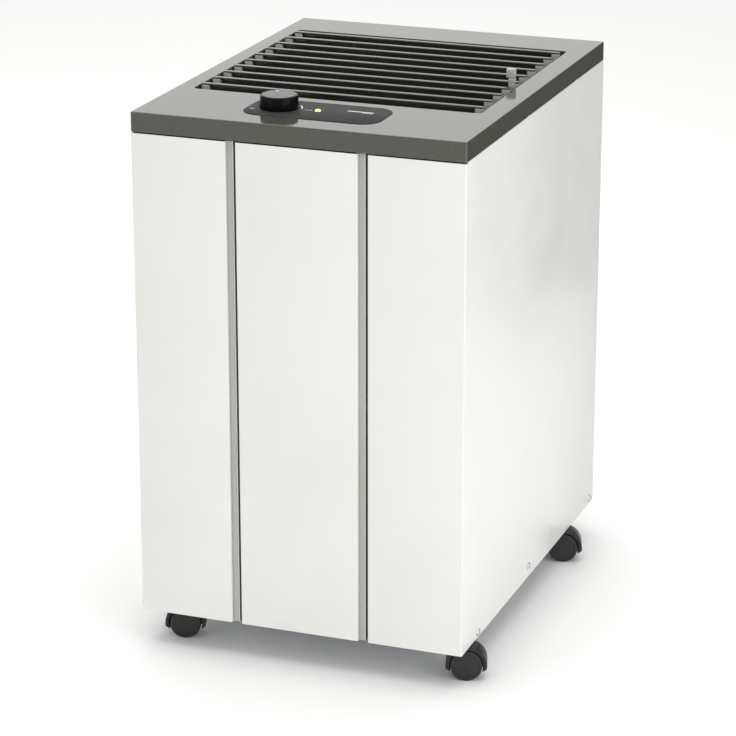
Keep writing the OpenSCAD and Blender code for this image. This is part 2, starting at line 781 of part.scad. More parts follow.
// Drip tray under the coils, with the trough that drains it into the tank
module drip_tray() color([0.85, 0.86, 0.86]) {
    y0 = cond_y - 10;
    y1 = filter_y - 4;
    x = coil_w / 2 + 4;
    spout_y = tank_y1 - 22;
    difference() {
        union() {
            block([-x, y0, drip_z], [x, y1, coil_z]);
            block([-trough_w / 2, spout_y, drip_z], [trough_w / 2, y0 + 1, drip_z + trough_h]);
        }
        block([-x + drip_t, y0 + drip_t, drip_z + drip_t], [x - drip_t, y1 - drip_t, coil_z + 1]);
        block([-trough_w / 2 + drip_t, spout_y + drip_t, drip_z + drip_t],
              [trough_w / 2 - drip_t, y0 + drip_t + 1, coil_z + 1]);
        bar_z(drip_z - 1, drip_z + drip_t + 1, 0, spout_y + drip_t + 6, 10);
    }
}

// Electrical box on the front of the upper bulkhead
module electrical_box() color([0.25, 0.26, 0.28]) {
    y1 = opening_y0 - rail_reach;
    difference() {
        block([30, y1 - 60, shelf_z + 20], [130, y1, shelf_z + 90]);
        block([32, y1 - 61, shelf_z + 22], [128, y1 - 2, shelf_z + 88]);
    }
    block([31, y1 - 60, shelf_z + 21], [129, y1 - 57, shelf_z + 89]);
    bar_z(shelf_z + 22, shelf_z + 70, 104, y1 - 28, 34);
    block([40, y1 - 30, shelf_z + 22], [74, y1 - 2, shelf_z + 60]);
}

// Bush where the mains lead enters
module cord_inlet() color(black) {
    difference() {
        union() {
            bar_y(back_y - 10, back_y + sheet_t, inlet_x, inlet_z, inlet_body_d);
            bar_y(back_y - 10, back_y, inlet_x, inlet_z, inlet_body_d + 6);
        }
        bar_y(back_y - 11, back_y + 3, inlet_x, inlet_z, inlet_d);
    }
}

// Recessed spigot for a drain hose
module drain_spigot() color([0.30, 0.31, 0.32]) {
    tip_y = back_y + sheet_t;
    floor_y = tip_y - spigot_l;
    wall = 2;
    difference() {
        union() {
            bar_y(floor_y - wall, back_y, spigot_x, spigot_z, spigot_cup_d);
            bar_y(back_y - 3, back_y, spigot_x, spigot_z, spigot_cup_d + 8);
            bar_y(floor_y - 14, floor_y, spigot_x, spigot_z, spigot_d);
        }
        bar_y(floor_y, back_y + 1, spigot_x, spigot_z, spigot_cup_d - 2 * wall);
        bar_y(floor_y - 15, floor_y + 1, spigot_x, spigot_z, spigot_d - 2 * wall);
    }
    difference() {
        bar_y(floor_y, tip_y, spigot_x, spigot_z, spigot_d);
        bar_y(floor_y - 1, tip_y + 1, spigot_x, spigot_z, spigot_d - 2 * wall);
    }
}

// Self-tapping screws of the sides and the back
module casing_screws() color(silver) {
    for (p = side_screws) {
        for (s = [0, 1]) mirror([s, 0, 0]) {
            bar_x(half_w - 8, half_w, p[0], base_z + p[1], screw_d);
            bar_x(half_w, half_w + head_h, p[0], base_z + p[1], head_d);
        }
    }
    for (x = [-back_screw_x, back_screw_x]) {
        for (z = back_screw_z) {
            bar_y(back_y - 8, back_y + sheet_t, x, z, screw_d);
            bar_y(back_y + sheet_t, back_y + 2 * sheet_t, x, z, head_d);
        }
    }
}

// Water tank: open-topped, with holes for the handle and lugs for the float
module water_tank() color(clear_plastic) {
    lug_w = 4;
    difference() {
        block([-tank_x, tank_y0, tank_z], [tank_x, tank_y1, tank_top]);
        block([-tank_x + tank_t, tank_y0 + tank_t, tank_z + tank_t],
              [tank_x - tank_t, tank_y1 - tank_t, tank_top + 1]);
        bar_x(-half_w, half_w, handle_y, handle_z, handle_pin_d + 2 * run_fit);
    }
    difference() {
        for (s = [0, 1]) translate([float_x, 0, 0]) mirror([s, 0, 0]) {
            block([10, float_y - 5, float_z - 5], [10 + lug_w, tank_y1 - tank_t, float_z + 5]);
        }
        bar_x(float_x - 20, float_x + 20, float_y, float_z, float_pin_d + 2 * run_fit);
    }
}

// Bail handle of the tank
module tank_handle() color(black) {
    arm_w = 6;
    arm_h = 10;
    arm_x = tank_x - tank_t - slide_gap;
    for (s = [0, 1]) mirror([s, 0, 0]) {
        block([arm_x - arm_w, handle_y, handle_z - arm_h / 2],
              [arm_x, handle_y + handle_l, handle_z + arm_h / 2]);
        bar_x(arm_x - arm_w, arm_x, handle_y, handle_z, arm_h);
        bar_x(arm_x - 1, tank_x - 0.2, handle_y, handle_z, handle_pin_d);
    }
    bar_x(-arm_x + 1, arm_x - 1, handle_y + handle_l, handle_z, grip_d);
}

// Float, its arm and its pin
module float() color([0.88, 0.88, 0.86]) {
    bar_x(float_x - 13.8, float_x + 13.8, float_y, float_z, float_pin_d);
    block([float_x - 5, float_y - float_arm, float_z - 2.5], [float_x + 5, float_y + 3, float_z + 2.5]);
    bar_z(float_z - 2.5 - float_h, float_z - 2.4, float_x, float_y - float_arm, float_d);
}

// Reed switch on the bulkhead, just above the tank's rim
module float_switch() color([0.16, 0.16, 0.18]) {
    y1 = partition_y - sheet_t;
    block([float_x - 15, y1 - 12, tank_top + 5], [float_x + 15, y1, tank_top + 25]);
}

// Frame of the air filter, a push fit in the back panel
module filter_frame() color(black) {
    x = coil_w / 2 - slide_gap;
    z0 = coil_z + slide_gap;
    z1 = coil_top - slide_gap;
    ribs = 3;
    difference() {
        block([-x, filter_y, z0], [x, filter_y + filter_d, z1]);
        block([-x + filter_border, filter_y - 1, z0 + filter_border],
              [x - filter_border, filter_y + filter_d + 1, z1 - filter_border]);
    }
    for (i = [1:ribs]) {
        cx = -x + i * 2 * x / (ribs + 1);
        block([cx - 2, filter_y + filter_d - 3, z0 + 2], [cx + 2, filter_y + filter_d, z1 - 2]);
    }
    block([-x + 2, filter_y + filter_d - 3, (z0 + z1) / 2 - 2],
          [x - 2, filter_y + filter_d, (z0 + z1) / 2 + 2]);
}

// Filter mesh, held in the frame
module filter_mesh() color([0.35, 0.36, 0.38]) {
    x = coil_w / 2 - slide_gap - filter_border;
    block([-x, filter_y + filter_d - 5, coil_z + slide_gap + filter_border],
          [x, filter_y + filter_d - 3, coil_top - slide_gap - filter_border]);
}

// Moves a castor piece from its own frame, where the stem stands on the
// origin and the axle is behind it on +X, to corner i
module at_castor(i) {
    translate([stem_places[i][0], stem_places[i][1], 0]) rotate([0, 0, castor_turn]) children();
}

// Castor body: stem, centre web and the hood over both wheels. Seen along
// the axle, the hood is an arch whose two ends taper to points
module castor_housing(i) color(black) {
    hood_w = castor_web + 2 * wheel_w + wheel_gap;
    tip_x = wheel_r + wheel_gap;
    flat = base_z - swivel_gap - wheel_r;
    at_castor(i) difference() {
        union() {
            bar_z(wheel_r + 4, tray_floor + socket_h - 3, 0, 0, stem_d);
            translate([trail, hood_w / 2, wheel_r]) rotate([90, 0, 0])
                linear_extrude(height = hood_w) intersection() {
                    circle(hood_reach);
                    polygon([[-hood_reach, -tip_drop / 2], [-tip_x, -tip_drop], [tip_x, -tip_drop],
                             [hood_reach, -tip_drop / 2], [hood_reach, flat], [-hood_reach, flat]]);
                }
        }
        for (s = [0, 1]) mirror([0, s, 0]) {
            bar_y(castor_web / 2, hood_w, trail, wheel_r, 2 * (wheel_r + wheel_gap));
        }
        bar_y(-hood_w, hood_w, trail, wheel_r, axle_d);
    }
}

// Steel axle, pressed through the web
module castor_axle(i) color(silver) {
    end = castor_web / 2 + wheel_w - 1;
    at_castor(i) bar_y(-end, end, trail, wheel_r, axle_d);
}

// One castor wheel
module castor_wheel(i, side) color([0.15, 0.15, 0.15]) {
    y0 = castor_web / 2 + wheel_gap / 2;
    recess = 0.6;
    at_castor(i) mirror([0, side, 0]) difference() {
        union() {
            bar_y(y0 + 0.8, y0 + wheel_w - 0.8, trail, wheel_r, wheel_d);
            bar_y(y0, y0 + wheel_w, trail, wheel_r, wheel_d - 1.6);
        }
        bar_y(y0 - 1, y0 + wheel_w - 2 * recess, trail, wheel_r, axle_d + 2 * run_fit);
        bar_y(y0 + wheel_w - recess, y0 + wheel_w + 1, trail, wheel_r, wheel_d - 7);
    }
}

casing();
back_panel();
base_tray();
front_panel();
groove_strips();
top_cover();
control_overlay();
power_lamp();
humidistat();
knob();
knob_cap();
louvre_frame();
for (k = [1:blade_n]) {
    louvre_blade(k);
}
louvre_lever();
louvre_link_bar();
partition();
evaporator();
condenser();
refrigerant_pipes();
compressor();
compressor_mounts();
fan_motor();
fan_shroud();
fan_rotor();
drip_tray();
electrical_box();
cord_inlet();
drain_spigot();
casing_screws();
water_tank();
tank_handle();
float();
float_switch();
filter_frame();
filter_mesh();
for (i = [0:3]) {
    castor_housing(i);
    castor_axle(i);
    for (side = [0, 1]) {
        castor_wheel(i, side);
    }
}
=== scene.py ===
import json
from math import asin, cos, pi, radians, sin

import bmesh
import bpy
from mathutils import Matrix, Vector


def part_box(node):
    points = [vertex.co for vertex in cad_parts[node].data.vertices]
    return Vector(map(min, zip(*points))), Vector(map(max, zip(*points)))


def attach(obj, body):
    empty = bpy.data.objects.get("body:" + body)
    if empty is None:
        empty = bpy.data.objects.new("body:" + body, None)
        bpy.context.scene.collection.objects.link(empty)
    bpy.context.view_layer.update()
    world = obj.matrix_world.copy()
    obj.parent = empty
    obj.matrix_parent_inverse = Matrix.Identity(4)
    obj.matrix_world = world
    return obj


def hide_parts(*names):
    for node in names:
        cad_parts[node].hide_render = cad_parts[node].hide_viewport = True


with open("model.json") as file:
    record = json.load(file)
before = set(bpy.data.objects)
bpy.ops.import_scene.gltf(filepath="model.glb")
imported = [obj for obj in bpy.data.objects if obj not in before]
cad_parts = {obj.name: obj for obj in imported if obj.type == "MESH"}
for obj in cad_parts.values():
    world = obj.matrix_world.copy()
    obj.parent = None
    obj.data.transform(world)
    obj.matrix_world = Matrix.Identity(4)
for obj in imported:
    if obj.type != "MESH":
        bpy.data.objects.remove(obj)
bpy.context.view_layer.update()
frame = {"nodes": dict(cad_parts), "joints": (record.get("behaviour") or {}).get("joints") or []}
MM = 0.001


# ---------------------------------------------------------------- camera, floor and light
# A studio shot from the front right and a little above. The floor is a wide pale
# sheet, and the light is soft from all round, with a bright panel behind the top.

def unit(azimuth, elevation):
    """The direction from the object to someone at this azimuth and elevation."""
    a, e = radians(azimuth), radians(elevation)
    return Vector((sin(a) * cos(e), -cos(a) * cos(e), sin(e)))


aim = Vector((-0.0061, -0.0148, 0.2555))
camera_distance = 3.256
lens_mm = 147.7
eye = aim + camera_distance * unit(20.36, 18.78)
camera_data = bpy.data.cameras.new("camera")
camera_data.lens = lens_mm
camera_data.sensor_width = 36
camera_data.clip_end = 60
camera = bpy.data.objects.new("camera", camera_data)
camera.location = eye
camera.rotation_euler = (aim - eye).to_track_quat("-Z", "Y").to_euler()
bpy.context.collection.objects.link(camera)
bpy.context.scene.camera = camera


def soft_box(name, place, look_at, width, height, power, tint=(1, 1, 1)):
    """A rectangular studio light that faces a point."""
    data = bpy.data.lights.new(name, "AREA")
    data.shape = "RECTANGLE"
    data.size = width
    data.size_y = height
    data.energy = power
    data.color = tint
    lamp = bpy.data.objects.new(name, data)
    lamp.location = place
    lamp.rotation_euler = (Vector(look_at) - Vector(place)).to_track_quat("-Z", "Y").to_euler()
    bpy.context.collection.objects.link(lamp)
    return lamp


soft_box("overhead", (0.0, 0.3, 3.2), (0, 0, 0.4), 3.4, 3.4, 66)
soft_box("front_left", (-2.6, -3.2, 1.5), (0, 0, 0.35), 2.4, 2.2, 13)
soft_box("right_side", (3.2, -1.2, 1.4), (0, 0, 0.35), 2.0, 2.2, 27)
soft_box("low_right", (1.25, -1.29, 0.3), (0, 0, 0.3), 0.25, 0.6, 3.5)
soft_box("behind", (-2.6, 5.2, 2.1), (0, 0, 0.5), 6.0, 4.2, 56)

world = bpy.data.worlds.new("studio")
world.use_nodes = True
world.node_tree.nodes["Background"].inputs["Color"].default_value = (1, 1, 0.99, 1)
world.node_tree.nodes["Background"].inputs["Strength"].default_value = 0.62
bpy.context.scene.world = world
bpy.context.scene.view_settings.view_transform = "Standard"


class Finish:
    """A material under construction: a shader, object coordinates, and the nodes between."""

    def __init__(self, name, colour, roughness, metallic=0.0):
        self.material = bpy.data.materials.new(name)
        self.material.use_nodes = True
        self.tree = self.material.node_tree
        self.shader = self.tree.nodes["Principled BSDF"]
        self.shader.inputs["Base Color"].default_value = (*colour, 1)
        self.shader.inputs["Roughness"].default_value = roughness
        self.shader.inputs["Metallic"].default_value = metallic
        self.place = self.tree.nodes.new("ShaderNodeTexCoord").outputs["Object"]
        self.colour = colour

    def link(self, output, socket):
        self.tree.links.new(output, socket)

    def noise(self, scale, detail=3, stretch=(1, 1, 1)):
        """Noise at so many features a metre; stretch squeezes it along an axis."""
        mapping = self.tree.nodes.new("ShaderNodeMapping")
        mapping.inputs["Scale"].default_value = stretch
        self.link(self.place, mapping.inputs["Vector"])
        texture = self.tree.nodes.new("ShaderNodeTexNoise")
        texture.inputs["Scale"].default_value = scale
        texture.inputs["Detail"].default_value = detail
        self.link(mapping.outputs["Vector"], texture.inputs["Vector"])
        return texture.outputs["Fac"]

    def between(self, fac, low, high, start=0.35, end=0.65):
        """Turns a mask into a number between low and high."""
        ramp = self.tree.nodes.new("ShaderNodeMapRange")
        ramp.inputs["From Min"].default_value = start
        ramp.inputs["From Max"].default_value = end
        ramp.inputs["To Min"].default_value = low
        ramp.inputs["To Max"].default_value = high
        self.link(fac, ramp.inputs["Value"])
        return ramp.outputs["Result"]

    def vary_roughness(self, fac, low, high):
        self.link(self.between(fac, low, high), self.shader.inputs["Roughness"])

    def vary_colour(self, fac, first, second, start=0.35, end=0.65):
        mix = self.tree.nodes.new("ShaderNodeMix")
        mix.data_type = "RGBA"
        mix.inputs["A"].default_value = (*first, 1)
        mix.inputs["B"].default_value = (*second, 1)
        self.link(self.between(fac, 0, 1, start, end), mix.inputs["Factor"])
        self.link(mix.outputs["Result"], self.shader.inputs["Base Color"])

    def bump(self, fac, depth_mm, strength=1.0):
        """Raises the surface by up to depth_mm where the mask is 1."""
        node = self.tree.nodes.new("ShaderNodeBump")
        node.inputs["Distance"].default_value = depth_mm * MM
        node.inputs["Strength"].default_value = strength
        self.link(fac, node.inputs["Height"])
        last = self.shader.inputs["Normal"]
        if last.is_linked:
            self.link(last.links[0].from_socket, node.inputs["Normal"])
        self.link(node.outputs["Normal"], last)


def stage_piece(bm, name, finish):
    """Writes a piece of the studio, which isn't part of the object."""
    mesh = bpy.data.meshes.new(name)
    bm.to_mesh(mesh)
    bm.free()
    mesh.materials.append(finish.material)
    piece = bpy.data.objects.new(name, mesh)
    bpy.context.collection.objects.link(piece)


floor_reach = 14
paper = Finish("studio_paper", (0.97, 0.97, 0.965), 0.9)
paper.vary_roughness(paper.noise(3), 0.86, 0.94)
bm = bmesh.new()
bmesh.ops.create_grid(bm, x_segments=2, y_segments=2, size=floor_reach)
stage_piece(bm, "floor", paper)

card_height = 1.3
card_ends = [(0.28, 1.20), (1.50, 0.75)]
felt = Finish("dark_card_felt", (0.04, 0.04, 0.04), 0.95)
felt.vary_roughness(felt.noise(40), 0.90, 0.98)
bm = bmesh.new()
card_foot = [bm.verts.new((x, y, 0)) for x, y in card_ends]
card_head = [bm.verts.new((x, y, card_height)) for x, y in reversed(card_ends)]
bm.faces.new(card_foot + card_head)
stage_piece(bm, "dark_card", felt)


# ---------------------------------------------------------------- cabinet: painted steel
# The sides are one folded wrap of 1.2 mm steel, the back a flat sheet screwed to its
# flanges, and the front a panel pushed on. All are powder coated satin white.

def powder_coat(name, colour, speck):
    """Sprayed and baked paint: fine orange peel, slight sheen changes, faint dust in random patches."""
    coat = Finish(name, colour, 0.34)
    coat.shader.inputs["Coat Weight"].default_value = 0.15
    coat.shader.inputs["Coat Roughness"].default_value = 0.2
    coat.vary_roughness(coat.noise(22, 4), 0.29, 0.40)
    coat.vary_colour(coat.noise(7, 5), colour, speck, 0.45, 0.75)
    coat.bump(coat.noise(520, 2), 0.035)
    coat.bump(coat.noise(60, 2), 0.05)
    return coat.material


white_paint = powder_coat("white_powder_coat", (0.80, 0.797, 0.772), (0.77, 0.767, 0.738))


def paint(material, *nodes):
    """Gives carried-over pieces their finish."""
    for node in nodes:
        mesh = frame["nodes"][node].data
        mesh.materials.clear()
        mesh.materials.append(material)


paint(white_paint, "back_panel")


def add_box(bm, low, high):
    """A box between two corners, as its list of vertices."""
    middle = [(a + b) / 2 for a, b in zip(low, high)]
    size = [b - a for a, b in zip(low, high)]
    place = Matrix.Translation(middle) @ Matrix.Diagonal((*size, 1))
    return bmesh.ops.create_cube(bm, size=1, matrix=place)["verts"]


def round_edges(bm, edges, radius, segments=3):
    """Rounds these edges."""
    return bmesh.ops.bevel(bm, geom=edges, offset=radius, offset_type="OFFSET", segments=segments,
                           profile=0.5, affect="EDGES", clamp_overlap=True, material=-1)


def edges_of(verts):
    """The edges between these vertices."""
    chosen = set(verts)
    return list({e for v in verts for e in v.link_edges if set(e.verts) <= chosen})


def upright(edge):
    """Whether an edge stands along Z."""
    a, b = (v.co for v in edge.verts)
    return abs(a.z - b.z) > 1e-5 and (a.xy - b.xy).length < 1e-6


def sharp_edges(bm, angle=30):
    """The edges where two faces meet at more than this angle."""
    return [e for e in bm.edges if len(e.link_faces) == 2 and e.calc_face_angle(0) > radians(angle)]


def make_piece(bm, name, body, slot, material, *replaced, smooth_angle=32):
    """Writes a finished mesh, hangs it on the body it rides on, and hides the nodes it stands for."""
    bmesh.ops.recalc_face_normals(bm, faces=bm.faces)
    mesh = bpy.data.meshes.new(name)
    bm.to_mesh(mesh)
    bm.free()
    mesh.polygons.foreach_set("use_smooth", [True] * len(mesh.polygons))
    mesh.set_sharp_from_angle(angle=radians(smooth_angle))
    mesh.materials.append(material)
    piece = bpy.data.objects.new(name, mesh)
    bpy.context.collection.objects.link(piece)
    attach(piece, body)
    if replaced:
        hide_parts(*replaced)
    return piece


casing_low, casing_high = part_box("casing")
sheet = 1.2 * MM
inner_x = casing_high.x - sheet
side_top = 555.5 * MM
flange_y, flange_wide, flange_low = -218.8 * MM, 8 * MM, 61.5 * MM
rear_y, rear_flange_wide = 233.6 * MM, 14 * MM
rail_low, rail_top = 529.5 * MM, 547.5 * MM
tab_places = (-39 * MM, 130 * MM)
tab_half, tab_low, tab_top = 2.5 * MM, 555 * MM, 557.3 * MM

bm = bmesh.new()
for side in (-1, 1):
    for x0, x1, y0, y1, z0, z1 in (
            (inner_x, casing_high.x, casing_low.y, casing_high.y, casing_low.z, side_top),
            (inner_x - flange_wide, inner_x, flange_y, flange_y + sheet, flange_low, rail_top),
            (inner_x - rear_flange_wide, inner_x, rear_y - sheet, rear_y, casing_low.z, rail_top)):
        xs = sorted((side * x0, side * x1))
        verts = add_box(bm, (xs[0], y0, z0), (xs[1], y1, z1))
        round_edges(bm, edges_of(verts), 0.45 * MM, 3)
    for y in tab_places:
        xs = sorted((side * inner_x, side * casing_high.x))
        add_box(bm, (xs[0], y - tab_half, tab_low), (xs[1], y + tab_half, tab_top))
for y in (flange_y, rear_y - sheet):
    verts = add_box(bm, (-inner_x, y, rail_low), (inner_x, y + sheet, rail_top))
    round_edges(bm, edges_of(verts), 0.3 * MM, 2)
make_piece(bm, "casing_wrap", "cabinet", "white_steel", white_paint, "casing")


# ---------------------------------------------------------------- front panel
# One sheet of steel with its edges wrapped round the cabinet's corners and two folded
# grooves. Folded returns inside push onto the cabinet. The grooves' floors are grey.

panel_low, panel_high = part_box("front_panel")
groove_x = 70 * MM
groove_half = 5.5 * MM
groove_depth = 5 * MM
slot_width = 4 * MM
slot_depth = 9 * MM
wrap = 4 * MM
front = panel_low.y

skin = [(panel_low.x, front + wrap), (panel_low.x, front)]
for x in (-groove_x, groove_x):
    slot_x = x + groove_half - slot_width
    skin += [(x - groove_half, front), (x - groove_half, front + groove_depth),
             (slot_x, front + groove_depth), (slot_x, front + slot_depth),
             (x + groove_half, front + slot_depth), (x + groove_half, front)]
skin += [(panel_high.x, front), (panel_high.x, front + wrap)]

bm = bmesh.new()
profile = [bm.verts.new((x, y, panel_low.z)) for x, y in skin]
path = [bm.edges.new(pair) for pair in zip(profile, profile[1:])]
raised = bmesh.ops.extrude_edge_only(bm, edges=path)["geom"]
bmesh.ops.translate(bm, vec=(0, 0, panel_high.z - panel_low.z),
                    verts=[v for v in raised if isinstance(v, bmesh.types.BMVert)])
bmesh.ops.recalc_face_normals(bm, faces=bm.faces)
widest = max(bm.faces, key=lambda f: f.calc_area())
if widest.normal.y > 0:
    bmesh.ops.reverse_faces(bm, faces=bm.faces)


def front_edges(bm, nearest, farthest):
    """The panel's upright front edges between these distances from its middle."""
    return [e for e in bm.edges if upright(e) and len(e.link_faces) == 2
            and abs(e.verts[0].co.y - front) < 1e-6 and nearest < abs(e.verts[0].co.x) < farthest]


panel_radius, lip_radius = 2 * MM, 1.1 * MM
round_edges(bm, front_edges(bm, groove_x + 30 * MM, panel_high.x + MM), panel_radius, 5)
round_edges(bm, front_edges(bm, 0, groove_x + 30 * MM), lip_radius, 4)
bmesh.ops.solidify(bm, geom=bm.faces[:], thickness=sheet)
return_x = inner_x - 0.5 * MM
for side in (-1, 1):
    x0, x1 = sorted((side * return_x, side * (return_x - sheet)))
    add_box(bm, (x0, front + sheet * 0.6, panel_low.z), (x1, panel_high.y, panel_high.z))
make_piece(bm, "front_panel_skin", "front_panel", "white_steel", white_paint, "front_panel")

strip_paint = powder_coat("grey_strip_coat", (0.46, 0.455, 0.42), (0.42, 0.415, 0.385))
strip_low, strip_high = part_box("groove_strips")
strip_gap = 0.2 * MM
bm = bmesh.new()
for x in (-groove_x, groove_x):
    left = x - groove_half + strip_gap
    right = x + groove_half - slot_width - sheet
    verts = add_box(bm, (left, strip_low.y, strip_low.z), (right, strip_high.y, strip_high.z))
    round_edges(bm, edges_of(verts), 0.2 * MM, 2)
make_piece(bm, "groove_strip_faces", "front_panel", "groove_grey", strip_paint, "groove_strips")

# Deep in each groove's slot stands a thin near-black sheet. It is painted shade that makes the narrow
# slot read as a dark, shadowed gap.
slot_painted_shade = powder_coat("slot_shadow_grey", (0.10, 0.10, 0.088), (0.08, 0.08, 0.07))
shade_sheet_thick, shade_sheet_gap = 0.3 * MM, 0.02 * MM
bm = bmesh.new()
for x in (-groove_x, groove_x):
    left = x + groove_half - slot_width + shade_sheet_gap
    right = x + groove_half - shade_sheet_gap
    back = front + slot_depth - shade_sheet_gap
    add_box(bm, (left, front + groove_depth + 0.5 * MM, strip_low.z), (left + shade_sheet_thick, back, strip_high.z))
    add_box(bm, (left, back - shade_sheet_thick, strip_low.z), (right, back, strip_high.z))
make_piece(bm, "groove_slot_liners", "front_panel", "groove_grey", slot_painted_shade)


# ---------------------------------------------------------------- screws
# Self-tapping pan-head screws in bright zinc hold the sides to the tray, and flat
# ones the back sheet to its flanges. Each head has a crossed recess.

def bright_metal(name, colour, low, high, scratch=0.02):
    """Plated or bare metal with fine scratches and dull patches."""
    metal = Finish(name, colour, (low + high) / 2, metallic=1.0)
    metal.vary_roughness(metal.noise(300, 4), low, high)
    metal.vary_colour(metal.noise(120, 3), colour, [c * 0.86 for c in colour])
    metal.bump(metal.noise(900, 3), scratch)
    return metal.material


def ring_loop(bm, radius, height, steps, place):
    """A closed ring of vertices round the local Z axis, with its edges."""
    verts = [bm.verts.new(place @ Vector((radius * cos(2 * pi * i / steps),
                                          radius * sin(2 * pi * i / steps), height)))
             for i in range(steps)]
    return [bm.edges.new((verts[i - 1], verts[i])) for i in range(steps)]


def add_screw(bm, place, radius, height, shank):
    """A domed head with a crossed recess on a plain shank; place turns +Z outwards."""
    arm, half = radius * 0.55, radius * 0.13
    cross = [(arm, -half), (arm, half), (half, half), (half, arm), (-half, arm), (-half, half),
             (-arm, half), (-arm, -half), (-half, -half), (-half, -arm), (half, -arm), (half, -half)]
    floor_verts = [bm.verts.new(place @ Vector((x * 0.8, y * 0.8, height * 0.4))) for x, y in cross]
    top_verts = [bm.verts.new(place @ Vector((x, y, height))) for x, y in cross]
    bm.faces.new(floor_verts)
    for i in range(12):
        bm.faces.new((floor_verts[i - 1], floor_verts[i], top_verts[i], top_verts[i - 1]))
    loops = [[bm.edges.get((top_verts[i - 1], top_verts[i])) for i in range(12)]]
    for share, level in ((0.66, 0.97), (0.84, 0.80), (0.95, 0.52), (1.0, 0.2), (1.0, 0.0)):
        loops.append(ring_loop(bm, radius * share, height * level, 24, place))
    loops.append(ring_loop(bm, shank, 0, 24, place))
    loops.append(ring_loop(bm, shank, -7 * MM, 24, place))
    for first, second in zip(loops, loops[1:]):
        bmesh.ops.bridge_loops(bm, edges=first + second)
    bmesh.ops.contextual_create(bm, geom=loops[-1])


screws_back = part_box("casing_screws")[1].y
head_radius, shank_radius = 4 * MM, 2 * MM
side_head, rear_head = 2 * MM, 1.2 * MM
side_places = ((-184 * MM, 43.5 * MM), (-13 * MM, 50.9 * MM), (221 * MM, 43.5 * MM))
rear_x, rear_heights = 169.3 * MM, (97.5 * MM, 296.5 * MM, 536.5 * MM)
bm = bmesh.new()
for side in (-1, 1):
    for y, z in side_places:
        place = Matrix.Translation((side * casing_high.x, y, z)) @ Matrix.Rotation(side * pi / 2, 4, "Y")
        turned = place @ Matrix.Rotation(0.5 + y * 9, 4, "Z")
        add_screw(bm, turned, head_radius, side_head, shank_radius)
    for z in rear_heights:
        seat = (side * rear_x, screws_back - rear_head, z)
        place = Matrix.Translation(seat) @ Matrix.Rotation(-pi / 2, 4, "X")
        turned = place @ Matrix.Rotation(z * 7, 4, "Z")
        add_screw(bm, turned, head_radius, rear_head, shank_radius)
zinc_plate = bright_metal("bright_zinc", (0.70, 0.70, 0.71), 0.16, 0.34)
make_piece(bm, "casing_screw_heads", "cabinet", "screw_steel", zinc_plate, "casing_screws")


# ---------------------------------------------------------------- top cover
# One injection moulding in warm dark grey, polished with a faint grain. A skirt runs
# round it, and the louvre opening is cut in its top. It lifts off with the louvre.

def moulded(name, colour, low, high, speck=None, depth=0.02, gloss=0.5):
    """Moulded plastic: a faint grain, patchy polish, and a little depth in its colour."""
    plastic = Finish(name, colour, (low + high) / 2)
    plastic.shader.inputs["Specular IOR Level"].default_value = gloss
    plastic.vary_roughness(plastic.noise(35, 4), low, high)
    plastic.vary_colour(plastic.noise(450, 2), colour, speck or [c * 1.18 for c in colour])
    plastic.bump(plastic.noise(700, 2), depth)
    return plastic.material


cover_grey = moulded("cover_grey_gloss", (0.068, 0.068, 0.056), 0.05, 0.10)
cover_low, cover_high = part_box("top_cover")
skirt_height = 20.5 * MM
skirt_z = cover_high.z - skirt_height
cover_wall = 2.5 * MM
louvre_mid = -2.5 * MM
opening_x = 155.75 * MM
opening_long = 297 * MM
rear_border = 61 * MM
opening_back = cover_high.y - rear_border
opening_front = opening_back - opening_long

bm = bmesh.new()
add_box(bm, (cover_low.x, cover_low.y, skirt_z), cover_high)
bmesh.ops.delete(bm, geom=[f for f in bm.faces if f.normal.z < -0.5], context="FACES_ONLY")
for place, normal in (((louvre_mid - opening_x, 0, 0), (1, 0, 0)),
                      ((louvre_mid + opening_x, 0, 0), (1, 0, 0)),
                      ((0, opening_front, 0), (0, 1, 0)), ((0, opening_back, 0), (0, 1, 0))):
    top = [f for f in bm.faces if f.normal.z > 0.5]
    geom = top + list({e for f in top for e in f.edges}) + list({v for f in top for v in f.verts})
    bmesh.ops.bisect_plane(bm, geom=geom, plane_co=place, plane_no=normal)
middle = Vector((louvre_mid, (opening_front + opening_back) / 2, cover_high.z))
hole = min((f for f in bm.faces if f.normal.z > 0.5),
           key=lambda f: (f.calc_center_median() - middle).length)
bmesh.ops.delete(bm, geom=[hole], context="FACES")
bmesh.ops.solidify(bm, geom=bm.faces[:], thickness=cover_wall)
bmesh.ops.remove_doubles(bm, verts=bm.verts, dist=1e-6)


def on_outline(edge, x, y0, y1, middle_x=0):
    """Whether an upright edge stands at one of a rectangle's corners."""
    p = edge.verts[0].co
    return abs(abs(p.x - middle_x) - x) < 0.1 * MM and min(abs(p.y - y0), abs(p.y - y1)) < 0.1 * MM


round_edges(bm, [e for e in bm.edges if upright(e) and e.calc_length() < 4 * MM
                 and on_outline(e, opening_x, opening_front, opening_back, louvre_mid)], 5 * MM, 6)
round_edges(bm, [e for e in bm.edges if upright(e)
                 and on_outline(e, cover_high.x, cover_low.y, cover_high.y)], 2 * MM, 4)
crown = [e for e in sharp_edges(bm, 60) if min(v.co.z for v in e.verts) > cover_high.z - 1e-5]
rim = [e for e in crown if all(abs(v.co.x - louvre_mid) > opening_x + MM
                               or not opening_front - MM < v.co.y < opening_back + MM
                               for v in e.verts)]
round_edges(bm, rim, 1.3 * MM, 4)
mouth = [e for e in sharp_edges(bm, 60) if min(v.co.z for v in e.verts) > cover_high.z - 1e-5]
round_edges(bm, mouth, 0.6 * MM, 3)
hem = [e for e in sharp_edges(bm, 60) if max(v.co.z for v in e.verts) < skirt_z + 1e-5
       and (abs(e.verts[0].co.x) > cover_high.x - MM or abs(e.verts[0].co.y) > cover_high.y - MM)]
